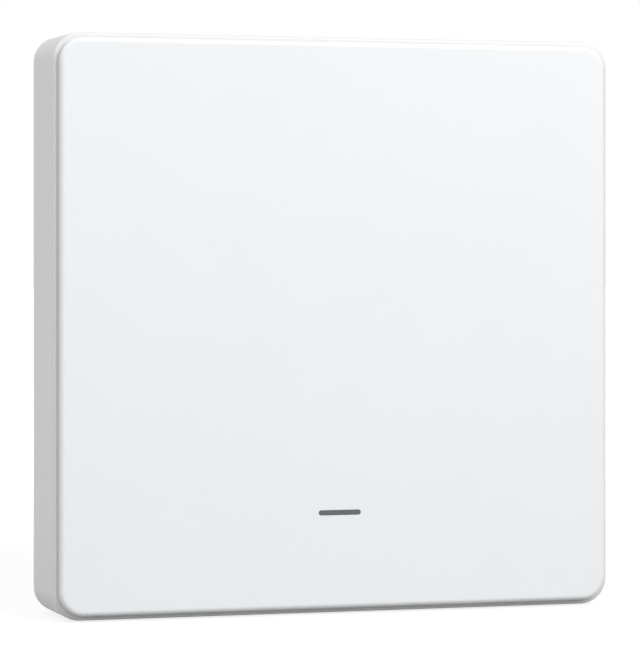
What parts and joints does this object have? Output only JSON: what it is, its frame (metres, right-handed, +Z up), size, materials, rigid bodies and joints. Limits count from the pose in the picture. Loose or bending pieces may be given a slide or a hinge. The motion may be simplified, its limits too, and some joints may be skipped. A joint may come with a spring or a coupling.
{
  "type": "wireless wall switch",
  "caption": "Square white wireless wall switch: a full-face sprung key on a shallow drafted housing, with a slim indicator lens and a coin-cell radio board inside.",
  "frame": {"origin": "centre of the adhesive pad's face, which lies on the wall", "axes": "+X to the right seen from the front, +Y into the wall, +Z up the wall; the key faces -Y"},
  "size_m": [0.086, 0.0169, 0.086],
  "materials": {
    "housing_white": "fine satin moulded white",
    "key_white": "fine satin moulded white",
    "smoked_lens": "smoked translucent",
    "foam_tape": "acrylic foam tape",
    "frame_white": "moulded natural white",
    "clear_plastic": "clear moulded",
    "stop_rubber": "soft grey",
    "board_laminate": "green solder mask",
    "screw_steel": "zinc plated",
    "black_plastic": "moulded black",
    "plunger_black": "moulded black",
    "tin_plate": "tin plated sheet",
    "spring_steel": "bright spring strip",
    "lamp_resin": "clear resin on a white base",
    "cell_steel": "nickel plated can",
    "module_laminate": "blue solder mask",
    "chip_black": "moulded epoxy",
    "capacitor_yellow": "moulded epoxy",
    "capacitor_tan": "fired ceramic"
  },
  "bodies": {
    "base": {"rear_housing": "housing_white", "adhesive_pad": "foam_tape", "middle_frame": "frame_white", "light_pipe": "clear_plastic", "stop_pads": "stop_rubber", "circuit_board": "board_laminate", "board_screws": "screw_steel", "tact_base": "black_plastic", "tact_cover": "tin_plate", "tact_dome": "spring_steel", "tact_terminals": "tin_plate", "indicator_lamp": "lamp_resin", "cell_holder": "black_plastic", "cell_negative_contact": "spring_steel", "cell_positive_contact": "spring_steel", "coin_cell": "cell_steel", "radio_board": "module_laminate", "radio_shield": "tin_plate", "radio_chip": "chip_black", "clock_crystal": "tin_plate", "buffer_capacitor": "capacitor_yellow", "small_capacitors": "capacitor_tan", "small_resistors": "chip_black"},
    "key": {"key_plate": "key_white", "indicator_lens": "smoked_lens"},
    "plunger": {"tact_plunger": "plunger_black"}
  },
  "joints": [
    {"name": "key_press", "type": "hinge", "parent": "base", "child": "key", "pos_m": [0, -0.0102, 0.03319], "axis": [1, 0, 0], "range_deg": [0, 0.25], "stiffness_Nm_per_rad": 18, "springref_deg": -0.05},
    {"name": "plunger_press", "type": "slide", "parent": "base", "child": "plunger", "axis": [0, 1, 0], "range_m": [0, 0.00025], "deforming": ["tact_dome"]}
  ],
  "couplings": [
    {"joint": "plunger_press", "follows": "key_press", "m_per_rad": 0.052988}
  ]
}
